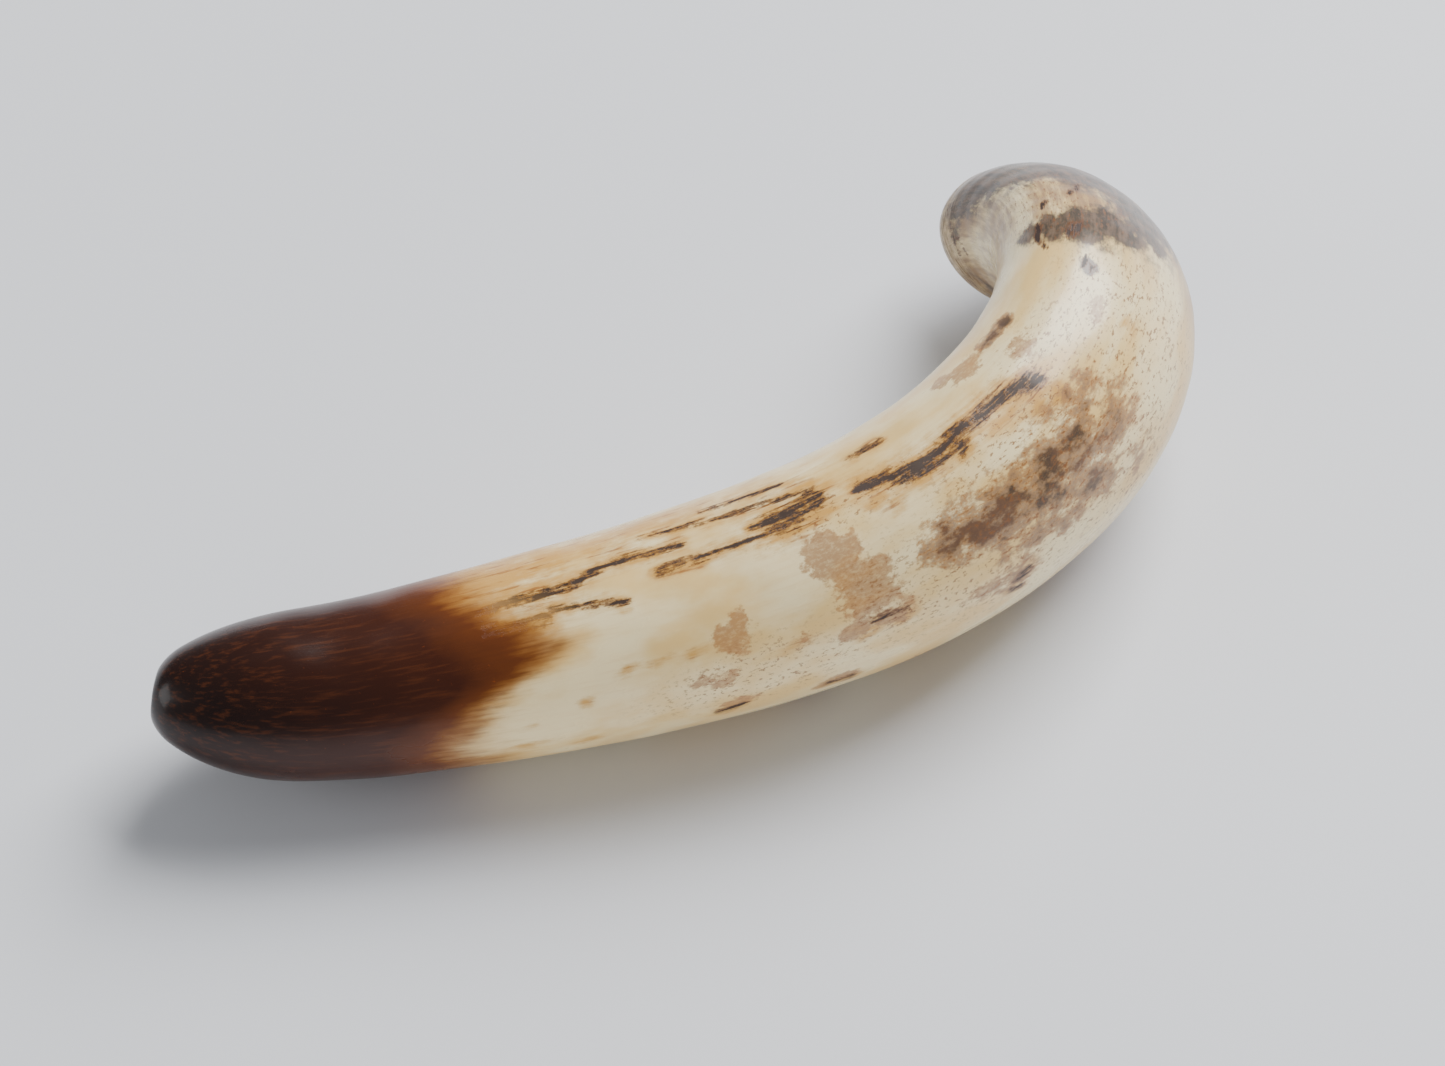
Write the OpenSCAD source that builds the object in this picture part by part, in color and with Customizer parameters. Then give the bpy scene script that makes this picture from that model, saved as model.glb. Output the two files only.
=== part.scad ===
// Shofar: one polished, hollow natural horn with a blown tip and an open bell.
// The horn is swept along a middle line whose bend and twist change smoothly
// from the blown tip to the bell. It lies on the table as it comes to rest.

/* [Length] */
// Length of the middle line from the pointed end of the tip to the bell
horn_length = 400; // [380:1:420]

/* [Bend of the middle line] */
// Bend at the blown tip, degrees over the whole length
bend_tip = 214; // [200:1:228]
// Bend between the tip and the belly, degrees over the whole length
bend_neck = -235; // [-250:1:-220]
// Bend between the belly and the bell, degrees over the whole length
bend_belly = 200; // [185:1:215]
// Bend at the bell, degrees over the whole length
bend_bell = 513; // [480:1:530]
// Twist of the bend at the blown tip, degrees over the whole length
twist_tip = -81; // [-100:1:-60]
// Twist of the bend at mid-length, degrees over the whole length
twist_belly = -147; // [-165:1:-130]
// Twist of the bend at the bell, degrees over the whole length
twist_bell = -117; // [-135:1:-100]

/* [How it lies] */
// Heading of the blown tip, degrees from +X towards +Y
lay_heading = -0.7; // [-30:0.1:30]
// Climb of the blown tip, degrees above the table
lay_climb = -18; // [-40:0.1:10]
// Roll of the horn about the blown tip's own line, degrees
lay_roll = 66.1; // [30:0.1:100]

/* [Thickness] */
// Radius that the tip would have without its rounding
radius_tip = 22; // [20.5:0.1:23.5]
// Radius control value between the tip and mid-length
radius_neck = 28.8; // [27:0.1:30.5]
// Radius control value at mid-length
radius_belly = 38; // [36:0.1:40]
// Radius control value between mid-length and the bell
radius_bend = 42.1; // [40:0.1:44]
// Radius at the bell
radius_bell = 23.9; // [22:0.1:26]
// Flattening of the section at the bell, as a share of its radius
bell_oval = 0.23; // [0:0.01:0.3]

/* [Blown tip] */
// Length over which the tip is rounded off
tip_round = 45; // [38:1:52]
// Distance from the pointed end at which the mouth face is cut
face_cut = 4; // [3.5:0.1:5]
// Slant of the mouth face towards the inside of the bend, degrees
face_in = -10; // [-14:0.5:0]
// Slant of the mouth face across the bend, degrees
face_across = -17; // [-20:0.5:0]
// Length of horn behind the mouth face that leans with its slant
face_reach = 35; // [30:1:40]
// Length of the shaped mouthpiece from the mouth face
mouth_length = 17; // [15:0.5:20]
// Diameter of the cup where the lips rest
cup_d = 12; // [10:0.1:12.5]
// Depth of the cup
cup_depth = 6; // [4:0.5:8]
// Diameter of the drilled windway
windway_d = 8; // [7:0.1:9]
// Distance from the pointed end to the start of the hollow
solid_length = 130; // [120:1:150]

/* [Hollow and bell] */
// Distance from the pointed end to the end of the neck, where the belly starts
neck_end = 215; // [200:1:230]
// Distance from the pointed end to the end of the belly, where the bell bend starts
belly_end = 305; // [290:1:320]
// Thickness of the horn wall
wall = 5.5; // [4.5:0.1:6.5]
// Radius of the blunt end of the hollow
hollow_end_r = 6; // [5:0.1:7]
// Length over which the hollow opens to the full wall
hollow_taper = 110; // [90:5:130]
// Length of the rounded bell rim
rim_length = 8; // [7:0.5:10]
// How far the rounding pulls in the outer edge of the rim
rim_round = 4; // [3:0.1:4]
// Softening of the rim's inner edge
rim_ease = 0.6; // [0.3:0.1:0.8]
// Slant of the bell's cut towards the inside of the bend, degrees
slant_in = 23; // [10:0.5:30]
// Slant of the bell's cut across the bend, degrees
slant_across = 9.5; // [0:0.5:20]
// Length of horn before the bell that leans with the slanted cut
slant_reach = 100; // [80:5:120]

/* [Hidden] */

sides = 40;
steps = 160;
overshoot = 5;
windway_r = windway_d / 2;
rim_start = horn_length - rim_length;
mouth_end = face_cut + mouth_length;

bend_values = [bend_tip, bend_neck, bend_belly, bend_bell];
twist_values = [twist_tip, twist_belly, twist_bell];
radius_values = [radius_tip, radius_neck, radius_belly, radius_bend, radius_bell];

// Value at u of the Bezier curve that has the given control values
function bezier(v, u) = len(v) == 1 ? v[0]
    : bezier([for (i = [0 : len(v) - 2]) v[i] * (1 - u) + v[i + 1] * u], u);

function clamp01(x) = min(1, max(0, x));
function unit(v) = v / norm(v);

// A frame is [point, forward, inward, across]; inward looks into the bend
function turned(f, bend, twist) =
    let (inward = f[2] * cos(bend) - f[1] * sin(bend))
    [f[0],
     unit(f[1] * cos(bend) + f[2] * sin(bend)),
     unit(inward * cos(twist) + f[3] * sin(twist)),
     unit(f[3] * cos(twist) - inward * sin(twist))];

function stepped(f, u) =
    let (g = turned(f, bezier(bend_values, u) / steps, bezier(twist_values, u) / steps))
    [f[0] + (f[1] + g[1]) / 2 * horn_length / steps, g[1], g[2], g[3]];

// Frame at the pointed end, from the three angles that say how the horn lies
tip_forward = [cos(lay_climb) * cos(lay_heading), cos(lay_climb) * sin(lay_heading), sin(lay_climb)];
level_side = [-sin(lay_heading), cos(lay_heading), 0];
level_up = cross(tip_forward, level_side);
tip_inward = level_side * cos(lay_roll) + level_up * sin(lay_roll);
tip_frame = [[0, 0, 0], tip_forward, tip_inward, cross(tip_forward, tip_inward)];

path = [for (i = 0, f = tip_frame; i <= steps; f = stepped(f, (i + 0.5) / steps), i = i + 1) f];

// Frame at a distance s along the middle line
function frame_at(s) =
    let (t = s / horn_length * steps, i = min(steps - 1, floor(t)), w = t - i)
    [for (k = [0 : 3]) path[i][k] * (1 - w) + path[i + 1][k] * w];

// Radius of the outside at s, with the rounded tip and the rounded rim
function tip_factor(s) = sqrt(1 - pow(1 - clamp01(s / tip_round), 2));
function rim_inset(s) = rim_round * (1 - sqrt(1 - pow(clamp01((s - rim_start) / rim_length), 2)));
function outer_r(s) = bezier(radius_values, s / horn_length) * tip_factor(s) - rim_inset(s);

// Radius of the hollow at s, from its blunt end to the eased inner edge
function hollow_share(s) = 1 - pow(1 - clamp01((s - solid_length) / hollow_taper), 2);
function hollow_full_r(s) = bezier(radius_values, s / horn_length) - wall;
function inner_r(s) = hollow_end_r + (hollow_full_r(s) - hollow_end_r) * hollow_share(s)
    + rim_ease * pow(clamp01((s - rim_start) / rim_length), 4);

// Ring of points round the middle line, slightly oval, leaning with the cut at either end
function lean(s) = pow(clamp01((s - horn_length + slant_reach) / slant_reach), 2);
function tip_lean(s) = pow(1 - clamp01(s / face_reach), 2);
function ring(s, r) =
    let (f = frame_at(s), oval = bell_oval * pow(s / horn_length, 2),
         rise_in = lean(s) * tan(slant_in) + tip_lean(s) * tan(face_in),
         rise_across = lean(s) * tan(slant_across) + tip_lean(s) * tan(face_across))
    [for (k = [0 : sides - 1])
        let (a = 360 * k / sides,
             x = r * (1 - oval) * cos(a),
             y = r * (1 + oval) * sin(a),
             z = x * rise_in + y * rise_across)
        f[0] + f[1] * z + f[2] * x + f[3] * y];

// Evenly spaced stations from a to b, no more than gap apart
function stations(a, b, gap) =
    let (n = ceil((b - a) / gap))
    [for (i = [0 : n]) a + (b - a) * i / n];

mouth_stations = [for (t = stations(0, 1, 0.125)) face_cut + mouth_length * t * t];
tip_stations = stations(mouth_end, solid_length, 6);
neck_stations = stations(solid_length, neck_end, 7);
belly_stations = stations(neck_end, belly_end, 7);
bend_stations = stations(belly_end, rim_start, 7);
rim_stations = [for (t = stations(0, 90, 15)) rim_start + rim_length * sin(t)];

// Move that puts the middle of the bounding box's bottom at the origin
skin = [for (s = concat(mouth_stations, tip_stations, neck_stations, belly_stations,
                              bend_stations, rim_stations))
        each ring(s, outer_r(s))];
low = [for (k = [0 : 2]) min([for (p = skin) p[k]])];
high = [for (k = [0 : 2]) max([for (p = skin) p[k]])];
home = [-(low[0] + high[0]) / 2, -(low[1] + high[1]) / 2, -low[2]];

// The windway runs straight from the mouth face to the blunt end of the hollow
windway_from = frame_at(face_cut)[0];
windway_to = frame_at(solid_length)[0];
windway_run = norm(windway_to - windway_from);

function band_faces(i, j) = [for (k = [0 : sides - 1])
    let (n = (k + 1) % sides)
    each [[i * sides + k, j * sides + k, j * sides + n], [i * sides + k, j * sides + n, i * sides + n]]];

// Closed solid through a list of rings, capped at both ends
module capped(rings) {
    last = len(rings) - 1;
    bands = [for (i = [0 : last - 1]) each band_faces(i, i + 1)];
    start_cap = [for (k = [0 : sides - 1]) k];
    end_cap = [for (k = [sides - 1 : -1 : 0]) last * sides + k];
    polyhedron([for (r = rings) each r], concat(bands, [start_cap, end_cap]));
}

// Closed shell whose rings go out along the outside and back along the hollow
module shell(outer_rings, inner_rings) {
    rings = concat(outer_rings, [for (i = [len(inner_rings) - 1 : -1 : 0]) inner_rings[i]]);
    count = len(rings);
    bands = [for (i = [0 : count - 1]) each band_faces(i, (i + 1) % count)];
    polyhedron([for (r = rings) each r], bands);
}

// Drilled windway and the cup at its mouth
module windway() {
    run = windway_to - windway_from;
    turn = [0, acos(run[2] / windway_run), atan2(run[1], run[0])];
    translate(windway_from) rotate(turn) {
        translate([0, 0, -overshoot]) cylinder(h = windway_run + 2 * overshoot, r = windway_r, $fn = 48);
        flare = (cup_d / 2 - windway_r) / cup_depth;
        translate([0, 0, -overshoot])
            cylinder(h = cup_depth + overshoot, r1 = cup_d / 2 + flare * overshoot, r2 = windway_r, $fn = 48);
    }
}

module mouthpiece() {
    color([0.16, 0.07, 0.05]) translate(home) difference() {
        capped([for (s = mouth_stations) ring(s, outer_r(s))]);
        windway();
    }
}

module solid_tip() {
    color([0.28, 0.13, 0.07]) translate(home) difference() {
        capped([for (s = tip_stations) ring(s, outer_r(s))]);
        windway();
    }
}

// Stretch of the hollow wall through the given stations
module wall_stretch(where) {
    shell([for (s = where) ring(s, outer_r(s))], [for (s = where) ring(s, inner_r(s))]);
}

module horn_neck() {
    color([0.86, 0.79, 0.65]) translate(home) wall_stretch(neck_stations);
}

module horn_belly() {
    color([0.86, 0.80, 0.68]) translate(home) wall_stretch(belly_stations);
}

module bell_bend() {
    color([0.82, 0.76, 0.66]) translate(home) wall_stretch(bend_stations);
}

module bell_rim() {
    color([0.62, 0.52, 0.43]) translate(home) wall_stretch(rim_stations);
}

mouthpiece();
solid_tip();
horn_neck();
horn_belly();
bell_bend();
bell_rim();
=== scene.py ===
import math
import bpy
import numpy as np
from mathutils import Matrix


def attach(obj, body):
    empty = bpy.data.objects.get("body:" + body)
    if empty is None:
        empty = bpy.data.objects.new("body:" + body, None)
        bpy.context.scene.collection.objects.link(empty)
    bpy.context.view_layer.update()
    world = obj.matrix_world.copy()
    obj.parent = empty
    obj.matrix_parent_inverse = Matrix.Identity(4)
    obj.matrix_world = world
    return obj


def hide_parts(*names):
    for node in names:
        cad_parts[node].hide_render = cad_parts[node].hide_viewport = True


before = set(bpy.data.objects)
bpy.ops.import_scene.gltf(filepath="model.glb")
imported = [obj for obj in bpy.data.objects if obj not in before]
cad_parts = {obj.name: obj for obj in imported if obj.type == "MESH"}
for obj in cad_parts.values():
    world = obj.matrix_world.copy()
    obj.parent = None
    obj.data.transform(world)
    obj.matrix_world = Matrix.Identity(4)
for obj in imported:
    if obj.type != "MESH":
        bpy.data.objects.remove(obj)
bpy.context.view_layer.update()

# ---- the horn's shape, the same formula and numbers as the CAD part, in millimetres ----
HORN_LENGTH = 400.0
BENDS = (214.0, -235.0, 200.0, 513.0)      # degrees over the whole length
TWISTS = (-81.0, -147.0, -117.0)
LAY_HEADING, LAY_CLIMB, LAY_ROLL = (math.radians(a) for a in (-0.7, -18.0, 66.1))
RADII = (22.0, 28.8, 38.0, 42.1, 23.9)
BELL_OVAL = 0.23
TIP_ROUND, FACE_CUT, MOUTH_LENGTH = 45.0, 4.0, 17.0
CUP_R, CUP_DEPTH, WINDWAY_R, SOLID_LENGTH = 6.0, 6.0, 4.0, 130.0
WALL, HOLLOW_END_R, HOLLOW_TAPER = 5.5, 6.0, 110.0
RIM_LENGTH, RIM_ROUND, RIM_EASE = 8.0, 4.0, 0.6
SLANT_IN, SLANT_ACROSS = math.tan(math.radians(23.0)), math.tan(math.radians(9.5))
SLANT_REACH = 100.0
FACE_IN, FACE_ACROSS = math.tan(math.radians(-10.0)), math.tan(math.radians(-17.0))
FACE_REACH = 35.0
RIM_START = HORN_LENGTH - RIM_LENGTH
MOUTH_END = FACE_CUT + MOUTH_LENGTH
UNEVEN_WAVES = ((83, 1, 0.4), (57, 2, 1.3), (37, 3, 2.6), (23, 4, 4.1), (19, 7, 5.2))
RING_GAP = 6.5                             # growth rings near the bell
LIP_LENGTH, LIP_DEPTH = 5.5, 2.2           # the worn edge round the mouth face
AROUND = 224                               # points in each ring
ANGLES = 2 * np.pi * np.arange(AROUND) / AROUND


def bezier(values, u):
    v = [np.full_like(u, x, dtype=float) for x in values]
    while len(v) > 1:
        v = [v[i] * (1 - u) + v[i + 1] * u for i in range(len(v) - 1)]
    return v[0]


def middle_line(steps=1600):
    """Points, forward, inward and across vectors, and the twist so far, along the middle line."""
    u = (np.arange(steps) + 0.5) / steps
    bend = np.radians(bezier(BENDS, u)) / steps
    twist = np.radians(bezier(TWISTS, u)) / steps
    ch, sh, cc, sc = (math.cos(LAY_HEADING), math.sin(LAY_HEADING), math.cos(LAY_CLIMB), math.sin(LAY_CLIMB))
    forward = np.array([cc * ch, cc * sh, sc])
    side = np.array([-sh, ch, 0.0])
    inward = side * math.cos(LAY_ROLL) + np.cross(forward, side) * math.sin(LAY_ROLL)
    across = np.cross(forward, inward)
    point = np.zeros(3)
    rows = [np.concatenate([point, forward, inward, across])]
    for i in range(steps):
        b, t = bend[i], twist[i]
        new_forward = forward * math.cos(b) + inward * math.sin(b)
        bent = inward * math.cos(b) - forward * math.sin(b)
        inward, across = (bent * math.cos(t) + across * math.sin(t),
                          across * math.cos(t) - bent * math.sin(t))
        point = point + (forward + new_forward) / 2 * HORN_LENGTH / steps
        forward = new_forward
        rows.append(np.concatenate([point, forward, inward, across]))
    return np.array(rows), np.concatenate([[0.0], np.cumsum(twist)])


LINE, TURNS = middle_line()
STATIONS = np.linspace(0, HORN_LENGTH, len(LINE))


def at(s):
    """Frames at the distances s: point, forward, inward, across, each (rows, 3)."""
    f = np.stack([np.interp(s, STATIONS, LINE[:, k]) for k in range(12)], -1)
    return f[:, 0:3], f[:, 3:6], f[:, 6:9], f[:, 9:12]


def turn(s):
    """Twist so far at the distances s, in radians."""
    return np.interp(s, STATIONS, TURNS)


def full_radius(s):
    return bezier(RADII, s / HORN_LENGTH)


def rim_share(s):
    return np.clip((s - RIM_START) / RIM_LENGTH, 0, 1)


def outer_radius(s):
    tip = np.sqrt(1 - (1 - np.clip(s / TIP_ROUND, 0, 1)) ** 2)
    return full_radius(s) * tip - RIM_ROUND * (1 - np.sqrt(1 - rim_share(s) ** 2))


def inner_radius(s):
    share = 1 - (1 - np.clip((s - SOLID_LENGTH) / HOLLOW_TAPER, 0, 1)) ** 2
    return HOLLOW_END_R + (full_radius(s) - WALL - HOLLOW_END_R) * share + RIM_EASE * rim_share(s) ** 4


def placed(s, radius):
    """Points of the rings at s; radius is (rows, around)."""
    c, fwd, inw, acr = at(s)
    oval = (BELL_OVAL * (s / HORN_LENGTH) ** 2)[:, None]
    lean = (np.clip((s - HORN_LENGTH + SLANT_REACH) / SLANT_REACH, 0, 1) ** 2)[:, None]
    x = radius * (1 - oval) * np.cos(ANGLES)
    y = radius * (1 + oval) * np.sin(ANGLES)
    tip_lean = ((1 - np.clip(s / FACE_REACH, 0, 1)) ** 2)[:, None]
    z = x * (lean * SLANT_IN + tip_lean * FACE_IN) + y * (lean * SLANT_ACROSS + tip_lean * FACE_ACROSS)
    return (c[:, None] + fwd[:, None] * z[..., None]
            + inw[:, None] * x[..., None] + acr[:, None] * y[..., None])


def wave(s, phi, length, times, shift):
    return np.sin(2 * np.pi * s / length + shift) * np.cos(times * phi + 1.7 * shift)


def relief(s, phi):
    """Hand-worked unevenness and growth rings, in mm."""
    uneven = sum(wave(s, phi, *w) for w in UNEVEN_WAVES)
    rings = np.sin(2 * np.pi * (s + 3 * np.sin(2 * phi) + 2 * np.sin(s / 9)) / RING_GAP)
    rings = rings * np.clip((s - 300) / 70, 0, 1)
    flutes = np.cos(9 * phi + s / 60) * np.clip((s - 180) / 120, 0, 1)
    fade = np.clip(s / 40, 0, 1) * np.clip((HORN_LENGTH - s) / 6, 0, 1)
    lip = np.clip((FACE_CUT + LIP_LENGTH - s) / LIP_LENGTH, 0, 1)
    worn = LIP_DEPTH * (1 - np.sqrt(1 - lip ** 2))
    return (0.075 * uneven + 0.05 * rings + 0.03 * flutes) * fade - worn


def skin(s):
    s = np.clip(np.asarray(s, float), 0.01, HORN_LENGTH)
    phi = ANGLES[None] + turn(s)[:, None]
    return placed(s, outer_radius(s)[:, None] + relief(s[:, None], phi))


def hollow(s):
    s = np.clip(np.asarray(s, float), 0.01, HORN_LENGTH)
    phi = ANGLES[None] + turn(s)[:, None]
    rough = 0.25 * (wave(s[:, None], phi, 29, 3, 0.7) + wave(s[:, None], phi, 13, 5, 2.1))
    return placed(s, inner_radius(s)[:, None] + rough * np.clip((s - 180) / 40, 0, 1)[:, None]
                  * np.clip((HORN_LENGTH - s) / 10, 0, 1)[:, None])


CUP_POINT = at(np.array([FACE_CUT]))[0][0]
HOLLOW_POINT = at(np.array([SOLID_LENGTH]))[0][0]
RUN = np.linalg.norm(HOLLOW_POINT - CUP_POINT)
BORE_AXIS = (HOLLOW_POINT - CUP_POINT) / RUN


def windway(s):
    """Rings of the straight windway and its cup, in the planes of the horn's rings."""
    s = np.asarray(s, float)
    c, fwd, inw, acr = at(s)
    reach = ((c - CUP_POINT) * fwd).sum(1) / (fwd @ BORE_AXIS)
    centre = CUP_POINT + BORE_AXIS * reach[:, None]
    radius = np.maximum(WINDWAY_R, CUP_R - (CUP_R - WINDWAY_R) * reach / CUP_DEPTH)
    return (centre[:, None] + inw[:, None] * (radius[:, None] * np.cos(ANGLES))[..., None]
            + acr[:, None] * (radius[:, None] * np.sin(ANGLES))[..., None])


def normals_of(points, ahead=None, behind=None):
    along = (ahead - behind) if ahead is not None else np.gradient(points, axis=0)
    round_ = np.roll(points, -1, 1) - np.roll(points, 1, 1)
    n = np.cross(round_, along)
    return n / np.maximum(np.linalg.norm(n, axis=2, keepdims=True), 1e-12)


# move that puts the middle of the bounding box's bottom at the origin, as in the CAD part
box_stations = np.concatenate([np.linspace(FACE_CUT, 40, 60), np.linspace(40, HORN_LENGTH, 500)])
box_points = skin(box_stations).reshape(-1, 3)
smooth_low, smooth_high = box_points.min(0), box_points.max(0)
HOME = -np.array([(smooth_low[0] + smooth_high[0]) / 2,
                  (smooth_low[1] + smooth_high[1]) / 2, smooth_low[2]])

# ---- where the stains are: s in mm along the horn, angle in degrees round the ring ----
DARK_STROKES = [
    ([(101, 52), (108, 48), (120, 52), (132, 53), (139, 50), (152, 53), (164, 59)], 1.5, 1.0),
    ([(103, 60), (112, 64), (121, 67)], 1.9, 1.0), ([(122, 63), (134, 69), (144, 76)], 1.1, 0.9),
    ([(156, 68), (168, 71), (181, 75), (193, 79), (201, 81)], 1.3, 0.9),
    ([(190, 73), (199, 77), (206, 77)], 3.2, 1.1), ([(186, 70), (196, 72), (207, 70)], 1.6, 1.0),
    ([(153, 41), (172, 50), (191, 58), (208, 69)], 1.2, 0.8), ([(173, 42), (186, 46), (199, 53)], 1.2, 0.8),
    ([(220, 85), (228, 89), (232, 96), (240, 100), (246, 101)], 1.9, 1.0),
    ([(233, 93), (240, 97), (249, 99)], 2.3, 1.1), ([(246, 101), (253, 106), (250, 108)], 1.3, 0.9),
    ([(250, 97), (257, 100), (265, 102), (272, 107), (280, 115)], 2.0, 1.05),
    ([(265, 100), (273, 105), (281, 113)], 1.6, 1.0), ([(222, 65), (233, 68)], 1.3, 0.8),
    ([(163, 164), (170, 164)], 1.2, 0.85), ([(194, 179), (200, 182)], 1.3, 0.9),
    ([(210, 148), (218, 153)], 1.6, 0.85), ([(249, 183), (252, 180)], 1.6, 0.95),
    ([(246, 186), (249, 190)], 1.1, 0.9),
    ([(318, 121), (320, 119)], 1.6, 0.95), ([(348, 118), (354, 128)], 0.9, 0.85),
    ([(342, 95), (345, 101)], 0.9, 0.8),
    ([(323, 94), (328, 89), (334, 90)], 1.0, 0.85), ([(329, 108), (334, 118)], 2.0, 0.95),
    ([(388, 40), (389, 58), (391, 74)], 0.9, 0.85), ([(384, 36), (386, 50)], 0.8, 0.8),
    ([(140, 268), (168, 276), (205, 290)], 1.3, 0.85), ([(176, 262), (190, 268)], 1.1, 0.8),
    ([(212, 318), (246, 330), (262, 338)], 1.5, 0.9), ([(268, 288), (281, 296), (290, 305)], 1.3, 0.85),
    ([(128, 214), (141, 219)], 1.1, 0.8), ([(300, 236), (316, 246)], 1.4, 0.9),
    ([(366, 300), (374, 318), (378, 340)], 1.1, 0.8), ([(380, 228), (384, 246)], 1.0, 0.8)]
OCHRE_BLOBS = [  # s, angle, length, width, tilt, strength
    (105, 22, 34, 19, 0, 1.0), (150, 32, 46, 10, 8, 0.75), (196, 62, 18, 9, 15, 0.75),
    (92, 60, 14, 20, 0, 0.7),
    (223, 96, 4, 2.5, 0, 0.9), (228, 105, 4.5, 2.5, 0, 0.9), (281, 128, 4, 3, 0, 0.9),
    (274, 124, 4, 3, 0, 0.8),
    (263, 112, 5, 2.5, 0, 0.7), (140, 111, 3.5, 1.8, 0, 0.8), (149, 113, 4, 1.7, 0, 0.8),
    (159, 117, 4, 1.8, 0, 0.8),
    (126, 121, 2.5, 1.8, 0, 0.8), (110, 125, 2.5, 1.6, 0, 0.6), (124, 153, 6, 1.8, 0, 0.6),
    (108, 143, 8, 1.8, 0, 0.6),
    (207, 150, 8, 4, 10, 0.8), (187, 138, 6, 3, 0, 0.55), (268, 110, 14, 8, 30, 0.55),
    (236, 97, 16, 7, 25, 0.7),
    (310, 150, 5, 6, 0, 0.5), (98, 300, 26, 22, 0, 0.9), (235, 328, 26, 8, 15, 0.7),
    (160, 273, 22, 6, 10, 0.6)]
TAN_BLOBS = [
    (203, 101, 6, 6, 0, 1.0), (207, 113, 6.5, 8, 0, 1.0), (210, 126, 8, 7, 0, 1.0),
    (211, 136, 8, 7, 0, 1.0),
    (204, 146, 8, 4, -10, 0.9), (214, 149, 6, 4, 0, 0.95), (171, 119, 6, 6, 20, 1.0),
    (173, 111, 3, 4, 0, 0.85),
    (160, 135, 7, 3, 0, 0.75), (165, 140, 8, 2.5, 0, 0.7), (169, 160, 7, 3, 0, 0.75),
    (196, 178, 8, 3, 0, 0.7),
    (190, 137, 5, 4, 0, 0.6), (262, 68, 5, 5, 0, 0.7), (270, 76, 8, 5, 0, 0.85), (283, 100, 8, 8, 0, 0.55),
    (240, 172, 8, 4, 0, 0.7), (308, 128, 6, 6, 0, 0.5), (240, 300, 16, 10, 20, 0.9),
    (190, 232, 12, 9, -20, 0.8),
    (150, 330, 14, 6, 0, 0.7), (290, 262, 14, 12, 30, 0.85), (215, 208, 9, 7, 0, 0.7)]
MOTTLED_BLOBS = [
    (236, 135, 7, 7, 0, 1.05), (244, 141, 8, 9, 10, 1.05), (254, 147, 10, 11, 10, 1.0),
    (265, 149, 11, 12, 15, 0.95),
    (277, 152, 11, 12, 20, 0.9), (287, 160, 9, 12, 20, 0.75), (262, 166, 12, 9, 15, 0.8),
    (275, 174, 11, 8, 15, 0.75),
    (290, 186, 10, 8, 0, 0.6), (250, 176, 9, 6, 0, 0.7), (288, 136, 9, 6, 30, 0.6),
    (285, 78, 6, 3.5, 10, 1.0), (291, 81, 4, 3, 10, 1.0), (275, 268, 20, 14, 25, 0.8),
    (230, 256, 12, 8, 0, 0.7)]
GREY_BLOBS = [
    (384, 92, 8, 12, 0, 0.9), (376, 104, 11, 14, 0, 1.05), (369, 124, 10, 16, 0, 1.05),
    (362, 145, 9, 14, 0, 0.95),
    (352, 166, 8, 12, 0, 0.75), (386, 70, 5, 8, 0, 0.5), (332, 100, 5, 9, 0, 0.85),
    (333, 118, 6, 9, 0, 0.95),
    (337, 137, 5.5, 10, 0, 0.85), (342, 158, 5, 10, 0, 0.7), (331, 86, 4, 6, 0, 0.7),
    (319, 121, 2.4, 2.4, 0, 0.9),
    (372, 250, 14, 26, 0, 0.8), (352, 300, 12, 18, 0, 0.6), (386, 190, 10, 20, 0, 0.75),
    (388, 330, 8, 20, 0, 0.6)]
SPECKLE_BLOBS = [
    (308, 150, 22, 24, 0, 1.0), (285, 115, 22, 12, 0, 0.9), (250, 118, 20, 10, 0, 0.6),
    (170, 140, 24, 9, 0, 0.8),
    (215, 140, 18, 18, 0, 0.6), (345, 110, 18, 30, 0, 0.8), (262, 160, 34, 22, 0, 0.9),
    (305, 250, 30, 24, 0, 0.8),
    (60, 60, 40, 30, 0, 0.35), (230, 310, 30, 22, 0, 0.6), (232, 158, 26, 12, 0, 0.8),
    (285, 178, 26, 22, 0, 0.9),
    (318, 176, 16, 18, 0, 0.8), (215, 88, 26, 6, 12, 0.9), (188, 156, 26, 8, 0, 0.7),
    (262, 120, 10, 14, 20, 0.8)]


def wrapped(degrees):
    return (degrees + 180) % 360 - 180


def blobs(s, angle, radius, rows):
    total = np.zeros_like(s)
    for s0, a0, length, width, tilt, strength in rows:
        ds, da = s - s0, np.radians(wrapped(angle - a0)) * radius
        c, k = math.cos(math.radians(tilt)), math.sin(math.radians(tilt))
        u, v = (ds * c + da * k) / length, (da * c - ds * k) / width
        total = np.maximum(total, strength * np.exp(-0.7 * (u * u + v * v)))
    return total


def strokes(s, angle, radius, rows, widen):
    total = np.zeros_like(s)
    for points, width, strength in rows:
        far = np.full_like(s, 1e6)
        for (s0, a0), (s1, a1) in zip(points[:-1], points[1:]):
            x, y = s - s0, np.radians(wrapped(angle - a0)) * radius
            dx, dy = s1 - s0, np.radians(a1 - a0) * radius
            t = np.clip((x * dx + y * dy) / (dx * dx + dy * dy), 0, 1)
            far = np.minimum(far, np.hypot(x - t * dx, y - t * dy))
        total = np.maximum(total, strength * np.exp(-(far / (width * widen)) ** 2))
    return total


def tip_edge(angle):
    """How far the dark tip reaches, in mm, round the horn."""
    off = wrapped(angle - 82)
    reach = np.where(off < 0, 42.0, 17.0)
    return 84 + 25 * np.exp(-(off / reach) ** 2) + 6 * np.exp(-(wrapped(angle - 250) / 40) ** 2)


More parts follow.
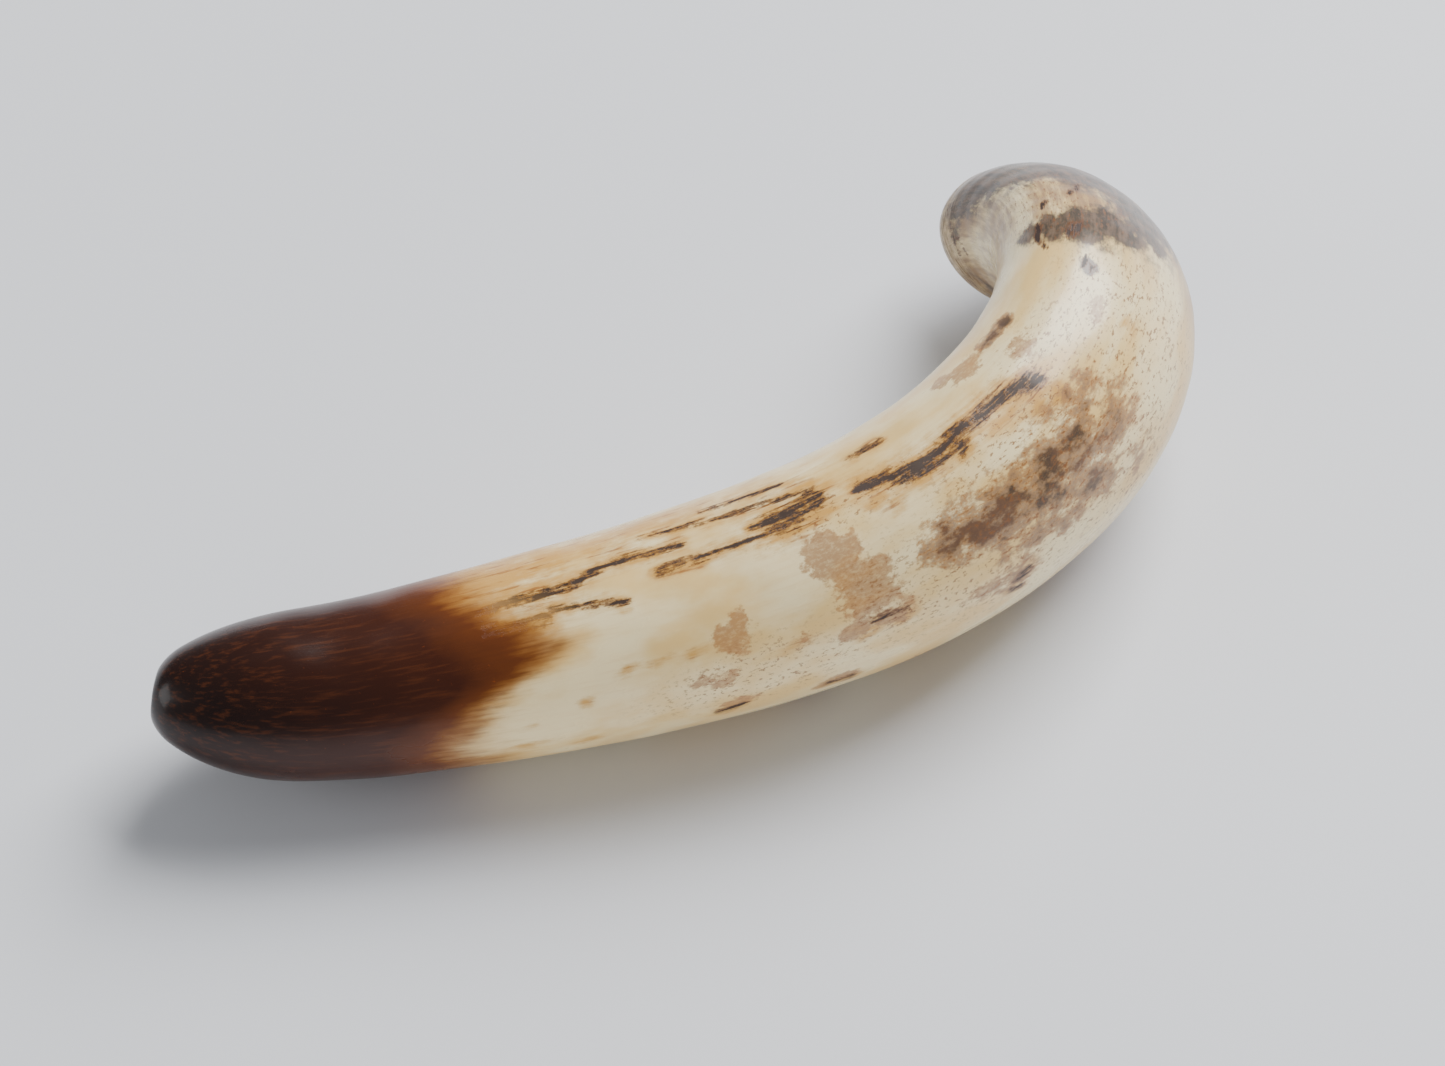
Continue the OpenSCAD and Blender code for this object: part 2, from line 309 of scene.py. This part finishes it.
def masks(s, angle):
    radius = np.maximum(outer_radius(np.clip(s, 0.01, HORN_LENGTH)), 4.0)
    halo = strokes(s, angle, radius, DARK_STROKES, HALO_WIDEN) * 0.9 * (s < HALO_END)
    return {"dark": strokes(s, angle, radius, DARK_STROKES, DARK_WIDEN),
            "halo": np.maximum(halo, blobs(s, angle, radius, OCHRE_BLOBS)),
            "tan": blobs(s, angle, radius, TAN_BLOBS),
            "mottled": blobs(s, angle, radius, MOTTLED_BLOBS),
            "grey": blobs(s, angle, radius, GREY_BLOBS),
            "speckle": blobs(s, angle, radius, SPECKLE_BLOBS),
            "tip": tip_edge(angle) - s}


DARK_WIDEN, HALO_WIDEN, HALO_END = 1.2, 2.8, 300
NAMES = ("dark", "halo", "tan", "mottled", "grey", "speckle", "tip")


class Band:
    """Rows of points with their own normals; bands share the row where they meet."""

    def __init__(self, points, s, outside, normals=None):
        self.points, self.s = points, np.broadcast_to(np.asarray(s, float), (len(points),))
        self.normals = normals_of(points) if normals is None else normals
        angle = np.degrees(ANGLES)[None] + 0 * self.s[:, None]
        along = self.s[:, None] + 0 * angle
        values = masks(along, angle)
        if not outside:
            values = {k: (v * 0 if k != "tip" else v) for k, v in values.items()}
        phi = ANGLES[None] + turn(self.s)[:, None]
        reach = np.maximum(outer_radius(np.clip(self.s, 0.01, HORN_LENGTH)), 5.0)[:, None]
        straight = np.stack([reach * np.cos(phi), reach * np.sin(phi), along], -1)
        self.values = [values[k] for k in NAMES] + [along, np.full_like(along, 0.0 if outside else 1.0)]
        self.straight = straight


def skin_band(s):
    s = np.asarray(s, float)
    return Band(skin(s), s, True, normals_of(skin(s), skin(s + 0.05), skin(s - 0.05)))


def flat_band(a, b, s, count=3, outside=False):
    """A cap between two rings at the same place along the horn."""
    t = np.linspace(0, 1, count)[:, None, None]
    return Band(a[None] * (1 - t) + b[None] * t, s, outside)


def piece(name, bands, material):
    n = AROUND
    points = np.concatenate([b.points[:-1] for b in bands]).reshape(-1, 3)
    rows = sum(len(b.points) - 1 for b in bands)
    quads, loop_normals, start = [], [], 0
    j = np.arange(n)
    k = (j + 1) % n
    for b in bands:
        m = len(b.points) - 1
        for i in range(m):
            r0, r1 = (start + i) * n, ((start + i + 1) % rows) * n
            quads.append(np.stack([r0 + j, r0 + k, r1 + k, r1 + j], -1))
            corners = [b.normals[i, j], b.normals[i, k], b.normals[i + 1, k], b.normals[i + 1, j]]
            loop_normals.append(np.stack(corners, 1))
        start += m
    quads, loop_normals = np.concatenate(quads), np.concatenate(loop_normals)
    p = points[quads]
    volume = np.einsum("ij,ij->i", p[:, 0], np.cross(p[:, 1], p[:, 2]) + np.cross(p[:, 2], p[:, 3])).sum() / 6
    if volume < 0:
        quads, loop_normals = quads[:, ::-1], loop_normals[:, ::-1]
        p = points[quads]
    face = np.cross(p[:, 2] - p[:, 0], p[:, 3] - p[:, 1])
    wrong = np.einsum("ijk,ik->ij", loop_normals, face) < 0
    loop_normals = np.where(wrong[..., None], -loop_normals, loop_normals)
    mesh = bpy.data.meshes.new(name)
    mesh.vertices.add(len(points))
    mesh.vertices.foreach_set("co", ((points + HOME) / 1000).astype(np.float32).ravel())
    mesh.loops.add(quads.size)
    mesh.loops.foreach_set("vertex_index", quads.astype(np.int32).ravel())
    mesh.polygons.add(len(quads))
    mesh.polygons.foreach_set("loop_start", np.arange(0, quads.size, 4, dtype=np.int32))
    mesh.polygons.foreach_set("use_smooth", np.ones(len(quads), dtype=bool))
    mesh.update(calc_edges=True)
    for index, key in enumerate(NAMES + ("along", "inside")):
        values = np.concatenate([b.values[index][:-1] for b in bands]).ravel()
        mesh.attributes.new(key, "FLOAT", "POINT").data.foreach_set("value", values.astype(np.float32))
    straight = np.concatenate([b.straight[:-1] for b in bands]).reshape(-1, 3)
    straight_data = mesh.attributes.new("straight", "FLOAT_VECTOR", "POINT").data
    straight_data.foreach_set("vector", straight.astype(np.float32).ravel())
    mesh.normals_split_custom_set(loop_normals.reshape(-1, 3).astype(np.float32).tolist())
    mesh.materials.append(material)
    made = bpy.data.objects.new(name, mesh)
    bpy.context.scene.collection.objects.link(made)
    return made


# ---- horn material ----
def srgb(r, g, b):
    def linear(c):
        c = c / 255
        return c / 12.92 if c <= 0.04045 else ((c + 0.055) / 1.055) ** 2.4
    return (linear(r), linear(g), linear(b), 1.0)


class Shade:
    """Short helpers that add nodes to one material."""

    def __init__(self, name):
        self.material = bpy.data.materials.new(name)
        self.material.use_nodes = True
        self.tree = self.material.node_tree
        self.tree.nodes.clear()

    def node(self, kind, **inputs):
        made = self.tree.nodes.new(kind)
        for key, value in inputs.items():
            self.put(made.inputs[key.replace("_", " ")], value)
        return made

    def put(self, socket, value):
        if isinstance(value, bpy.types.NodeSocket):
            self.tree.links.new(value, socket)
        else:
            socket.default_value = value

    def value(self, name):
        made = self.tree.nodes.new("ShaderNodeAttribute")
        made.attribute_name = name
        return made.outputs["Fac"]

    def vector(self, name):
        made = self.tree.nodes.new("ShaderNodeAttribute")
        made.attribute_name = name
        return made.outputs["Vector"]

    def math(self, how, a, b=0.0, c=0.0, clamp=False):
        made = self.tree.nodes.new("ShaderNodeMath")
        made.operation, made.use_clamp = how, clamp
        for socket, v in zip(made.inputs, (a, b, c)):
            self.put(socket, v)
        return made.outputs[0]

    def step(self, value, low, high):
        made = self.tree.nodes.new("ShaderNodeMapRange")
        made.interpolation_type = "SMOOTHSTEP"
        self.put(made.inputs["Value"], value)
        self.put(made.inputs["From Min"], low)
        self.put(made.inputs["From Max"], high)
        return made.outputs[0]

    def noise(self, place, stretch, scale, detail=4.0, rough=0.55, shift=0.0):
        mapped = self.tree.nodes.new("ShaderNodeMapping")
        self.put(mapped.inputs["Vector"], place)
        mapped.inputs["Scale"].default_value = stretch
        mapped.inputs["Location"].default_value = (shift, shift * 0.7, shift * 1.3)
        made = self.node("ShaderNodeTexNoise", Vector=mapped.outputs[0], Scale=scale,
                         Detail=detail, Roughness=rough)
        return made.outputs[0]

    def mix(self, amount, a, b):
        made = self.tree.nodes.new("ShaderNodeMix")
        made.data_type = "RGBA"
        self.put(made.inputs[0], amount)
        self.put(made.inputs[6], a)
        self.put(made.inputs[7], b)
        return made.outputs[2]

    def ramp(self, value, stops):
        made = self.tree.nodes.new("ShaderNodeValToRGB")
        self.put(made.inputs[0], value)
        elements = made.color_ramp.elements
        while len(elements) < len(stops):
            elements.new(0.5)
        for element, (place, colour) in zip(elements, stops):
            element.position, element.color = place, colour
        return made.outputs[0]


CREAM, WARM_CREAM = srgb(236, 218, 170), srgb(222, 187, 120)
TAN, PINK_TAN, BROWN, CRACK = srgb(176, 128, 76), srgb(168, 130, 90), srgb(84, 58, 46), srgb(34, 17, 8)
OCHRE, RUST, GREY, GREY_BROWN = srgb(196, 146, 68), srgb(98, 56, 20), srgb(44, 38, 36), srgb(104, 84, 70)


TIP_FADE, TIP_DEEP = 30.0, 110.0    # mm past the dark tip's edge, and mm to its darkest tone


def horn(name, shine=1.0):
    """One horn material: pale base, stains, dark tip, hollow and rim, then gloss and relief."""
    m = Shade(name)
    place = m.vector("straight")
    fibre = m.noise(place, (1, 1, 0.06), 0.8, 5.0, 0.6)
    fine = m.noise(place, (1, 1, 0.75), 0.36, 7.0, 0.7, 3.0)
    soft = m.noise(place, (1, 1, 0.5), 0.07, 4.0, 0.5, 7.0)
    grain = m.noise(place, (1, 1, 0.6), 0.95, 4.0, 0.7, 11.0)
    streak = m.noise(place, (1, 1, 0.14), 0.5, 6.0, 0.65, 17.0)
    cloud = m.noise(place, (1, 1, 0.8), 0.17, 6.0, 0.6, 31.0)
    wisp = m.noise(place, (1, 1, 0.09), 0.62, 4.0, 0.6, 41.0)

    def ragged(mask, texture, amount, stray=0.2):
        """The mask with noisy edges, and a few stray flecks where it is empty."""
        near = m.math("ADD", m.math("MULTIPLY", m.step(m.value(mask), 0.02, 0.3), 1 - stray), stray)
        spread = m.math("MULTIPLY", m.math("SUBTRACT", texture, 0.5), m.math("MULTIPLY", near, amount))
        return m.math("ADD", m.value(mask), spread)

    def both(a, b):
        return m.math("MULTIPLY", m.math("ADD", a, b), 0.5)

    pale = m.mix(m.step(soft, 0.36, 0.66), CREAM, WARM_CREAM)
    pale = m.mix(m.math("MULTIPLY", m.step(fibre, 0.48, 0.75), 0.3), pale, srgb(214, 182, 128))
    halo = m.step(ragged("halo", both(cloud, streak), 2.6), 0.12, 0.95)
    body = m.mix(m.math("MULTIPLY", halo, 0.92), pale, OCHRE)
    tan_tone = m.mix(m.step(soft, 0.42, 0.6), PINK_TAN, TAN)
    tan = m.step(ragged("tan", both(cloud, fine), 2.4), 0.4, 0.58)
    tan_fleck = m.math("ADD", m.math("MULTIPLY", m.step(grain, 0.3, 0.55), 0.4), 0.6)
    tan = m.math("MULTIPLY", tan, tan_fleck)
    body = m.mix(m.math("MULTIPLY", tan, 0.9), body, tan_tone)
    patch_value = ragged("mottled", both(cloud, both(fine, grain)), 4.0)
    patch = m.step(patch_value, 0.26, 0.66)
    patch_tone = m.mix(m.step(grain, 0.4, 0.62), srgb(124, 92, 72), TAN)
    body = m.mix(m.math("MULTIPLY", patch, 0.85), body, patch_tone)
    core_tone = m.mix(m.step(soft, 0.45, 0.58), BROWN, GREY)
    body = m.mix(m.math("MULTIPLY", m.step(patch_value, 0.68, 1.08), 0.85), body, core_tone)
    grey_tone = m.mix(m.step(both(fine, streak), 0.42, 0.6), GREY, GREY_BROWN)
    veil = m.math("MULTIPLY", m.step(m.value("along"), 318, 350), 0.85)
    veil = m.math("MULTIPLY", veil, m.step(both(soft, streak), 0.38, 0.6))
    body = m.mix(veil, body, srgb(144, 112, 86))
    grey = m.step(ragged("grey", both(cloud, fine), 2.4), 0.1, 0.5)
    body = m.mix(m.math("MULTIPLY", grey, 0.95), body, grey_tone)
    near_halo = m.step(ragged("halo", cloud, 1.6, 0.0), 0.2, 0.75)
    wisps = m.math("MULTIPLY", m.step(wisp, 0.56, 0.66), near_halo)
    body = m.mix(m.math("MULTIPLY", wisps, 0.75), body, srgb(140, 80, 34))
    specks = m.step(grain, 0.555, 0.62)
    specks = m.math("MULTIPLY", specks, m.step(m.value("speckle"), 0.05, 0.75))
    body = m.mix(m.math("MULTIPLY", specks, 0.78), body, srgb(126, 80, 44))
    cracks = ragged("dark", both(both(grain, fine), wisp), 6.5, 0.1)
    body = m.mix(m.math("MULTIPLY", m.step(cracks, 0.18, 0.74), 0.82), body, RUST)
    deep = m.step(cracks, 0.66, 1.04)
    body = m.mix(m.math("MULTIPLY", deep, 0.92), body, CRACK)

    wander = m.math("MULTIPLY", m.math("SUBTRACT", fibre, 0.5), 8.0)
    wander = m.math("ADD", wander, m.math("MULTIPLY", m.math("SUBTRACT", soft, 0.5), 30.0))
    depth = m.math("ADD", m.value("tip"), wander)
    share = m.math("DIVIDE", m.math("ADD", depth, TIP_FADE), TIP_DEEP, clamp=True)
    dark = m.ramp(share, [(0.0, srgb(214, 176, 108)), (0.1, srgb(196, 148, 80)), (0.19, srgb(140, 88, 34)),
                          (0.28, srgb(92, 46, 16)), (0.42, srgb(56, 23, 9)), (1.0, srgb(24, 8, 5))])
    dark = m.mix(m.math("MULTIPLY", m.step(fibre, 0.48, 0.7), 0.45), dark, srgb(88, 44, 18))
    dark = m.mix(m.math("MULTIPLY", m.step(grain, 0.67, 0.74), 0.4), dark, srgb(150, 72, 22))
    body = m.mix(m.step(depth, -TIP_FADE, -2.0), body, dark)

    hollow_tone = m.mix(m.step(fine, 0.3, 0.7), srgb(140, 104, 66), srgb(186, 152, 104))
    body = m.mix(m.math("MULTIPLY", m.value("inside"), m.step(m.value("along"), 100, 130)), body, hollow_tone)
    layers = m.noise(place, (0.5, 0.5, 5.0), 0.5, 4.0, 0.6, 23.0)
    rim_tone = m.mix(m.step(layers, 0.42, 0.6), srgb(206, 186, 158), srgb(96, 70, 50))
    rim = m.math("MULTIPLY", m.step(m.value("along"), 384.0, 396.0), 0.75)
    body = m.mix(rim, body, rim_tone)

    height = m.math("ADD", m.math("MULTIPLY", fibre, 0.35), m.math("MULTIPLY", grain, 0.1))
    height = m.math("SUBTRACT", height, m.math("MULTIPLY", deep, 0.6))
    height = m.math("SUBTRACT", height, m.math("MULTIPLY", specks, 0.2))
    bump = m.node("ShaderNodeBump", Strength=0.3, Distance=0.0003, Height=height)
    dull = m.math("ADD", m.math("MULTIPLY", deep, 0.25), m.math("MULTIPLY", m.value("inside"), 0.3))
    rough = m.math("ADD", m.math("MULTIPLY", soft, 0.18), m.math("ADD", dull, 0.2))
    shader = m.node("ShaderNodeBsdfPrincipled", Base_Color=body, Roughness=rough, Normal=bump.outputs[0])
    shader.inputs["IOR"].default_value = 1.5
    shader.inputs["Coat Weight"].default_value = 0.25 * shine
    shader.inputs["Specular IOR Level"].default_value = 0.5 * shine
    shader.inputs["Coat Roughness"].default_value = 0.1
    shader.inputs["Coat IOR"].default_value = 1.45
    out = m.tree.nodes.new("ShaderNodeOutputMaterial")
    m.tree.links.new(shader.outputs[0], out.inputs["Surface"])
    return m.material


# ---- the four pieces of the one horn ----
def even(a, b, gap):
    return np.linspace(a, b, int(math.ceil((b - a) / gap)) + 1)


tip_horn, body_horn, rim_horn = horn("dark_tip_horn", 0.6), horn("mottled_horn"), horn("rim_horn", 0.9)

face_s = np.array([FACE_CUT])
mouth_s = FACE_CUT + MOUTH_LENGTH * np.linspace(0, 1, 46) ** 1.7
face_ring, lip_ring = skin(face_s)[0], windway(face_s)[0]
mouth_end = np.array([MOUTH_END])
solid_end = np.array([SOLID_LENGTH])
mouthpiece = piece("mouthpiece_visual", [
    skin_band(mouth_s),
    flat_band(skin(mouth_end)[0], windway(mouth_end)[0], MOUTH_END, outside=True),
    Band(windway(even(FACE_CUT, MOUTH_END, 1.0)[::-1]), even(FACE_CUT, MOUTH_END, 1.0)[::-1], True),
    flat_band(lip_ring, face_ring, FACE_CUT, outside=True)], tip_horn)
solid_tip = piece("solid_tip_visual", [
    skin_band(even(MOUTH_END, SOLID_LENGTH, 0.85)),
    flat_band(skin(solid_end)[0], windway(solid_end)[0], SOLID_LENGTH, outside=True),
    Band(windway(even(MOUTH_END, SOLID_LENGTH, 6.0)[::-1]), even(MOUTH_END, SOLID_LENGTH, 6.0)[::-1], False),
    flat_band(windway(mouth_end)[0], skin(mouth_end)[0], MOUTH_END)], tip_horn)
rim_start = np.array([RIM_START])
horn_wall = piece("horn_wall_visual", [
    skin_band(even(SOLID_LENGTH, RIM_START, 0.9)),
    flat_band(skin(rim_start)[0], hollow(rim_start)[0], RIM_START, outside=True),
    Band(hollow(even(SOLID_LENGTH, RIM_START, 3.0)[::-1]), even(SOLID_LENGTH, RIM_START, 3.0)[::-1], False),
    flat_band(hollow(solid_end)[0], skin(solid_end)[0], SOLID_LENGTH)], body_horn)
rim_s = RIM_START + RIM_LENGTH * np.sin(np.linspace(0, np.pi / 2, 19))
bell_rim = piece("bell_rim_visual", [
    skin_band(rim_s),
    flat_band(skin(rim_s[-1:])[0], hollow(rim_s[-1:])[0], HORN_LENGTH, outside=True),
    Band(hollow(rim_s[::-1]), rim_s[::-1], False),
    flat_band(hollow(rim_start)[0], skin(rim_start)[0], RIM_START)], rim_horn)

for made, nodes, slot in (
        (mouthpiece, ["mouthpiece"], "dark_tip_horn"),
        (solid_tip, ["solid_tip"], "dark_tip_horn"),
        (horn_wall, ["horn_neck", "horn_belly", "bell_bend"], "mottled_horn"),
        (bell_rim, ["bell_rim"], "rim_horn")):
    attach(made, "root")
    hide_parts(*nodes)

# ---- table, light and camera ----
table_shade = Shade("table")
cloud = table_shade.node("ShaderNodeTexNoise", Scale=2.0, Detail=2.0)
table_share = table_shade.math("MULTIPLY", cloud.outputs[0], 0.25)
tone = table_shade.mix(table_share, srgb(214, 216, 221), srgb(208, 210, 215))
top = table_shade.node("ShaderNodeBsdfPrincipled", Base_Color=tone, Roughness=0.55)
top_out = table_shade.tree.nodes.new("ShaderNodeOutputMaterial")
table_shade.tree.links.new(top.outputs[0], top_out.inputs["Surface"])
plane = bpy.data.meshes.new("table")
plane.from_pydata([(-6, -6, 0), (6, -6, 0), (6, 6, 0), (-6, 6, 0)], [], [(0, 1, 2, 3)])
plane.materials.append(table_shade.material)
table = bpy.data.objects.new("table", plane)
bpy.context.scene.collection.objects.link(table)

world = bpy.data.worlds.new("studio")
world.use_nodes = True
background = world.node_tree.nodes["Background"]
background.inputs["Color"].default_value = (0.93, 0.96, 1.0, 1.0)
background.inputs["Strength"].default_value = 0.28
bpy.context.scene.world = world


def softbox(name, place, size, power, colour=(1.0, 1.0, 1.0), mirrored=True):
    data = bpy.data.lights.new(name, "AREA")
    data.shape, data.size, data.size_y = "RECTANGLE", size[0], size[1]
    data.energy, data.color = power, colour
    light = bpy.data.objects.new(name, data)
    x, y, z = place
    light.location = place
    light.visible_glossy = mirrored
    flat = math.hypot(x, y)
    light.rotation_euler = (math.atan2(flat, z), 0.0, math.atan2(x, -y))
    bpy.context.scene.collection.objects.link(light)


softbox("key_from_back_right", (1.35, 1.6, 2.2), (2.1, 2.1), 204.0)
softbox("fill_from_front", (0.5, -2.6, 0.36), (2.4, 0.6), 36.0, (1.0, 0.97, 0.92), False)
softbox("fill_from_left", (-1.6, -0.3, 0.6), (1.0, 0.9), 8.0, (0.98, 0.99, 1.0))

tilt, distance, yaw = 0.9608, 1.8866, -0.0109        # radians, metres, radians
aim, view_angle = (0.0119, -0.0176, 0.02), 0.2284    # metres, radians across the picture
eye = (aim[0], aim[1] - distance * math.cos(tilt), aim[2] + distance * math.sin(tilt))
camera_data = bpy.data.cameras.new("camera")
camera_data.sensor_width = 36.0
camera_data.lens = camera_data.sensor_width / 2 / math.tan(view_angle / 2)
camera_data.clip_start, camera_data.clip_end = 0.05, 50.0
camera = bpy.data.objects.new("camera", camera_data)
camera.location = (eye[0] * math.cos(yaw) - eye[1] * math.sin(yaw),
                   eye[0] * math.sin(yaw) + eye[1] * math.cos(yaw), eye[2])
camera.rotation_euler = (math.pi / 2 - tilt, 0.0, yaw)
bpy.context.scene.collection.objects.link(camera)
bpy.context.scene.camera = camera
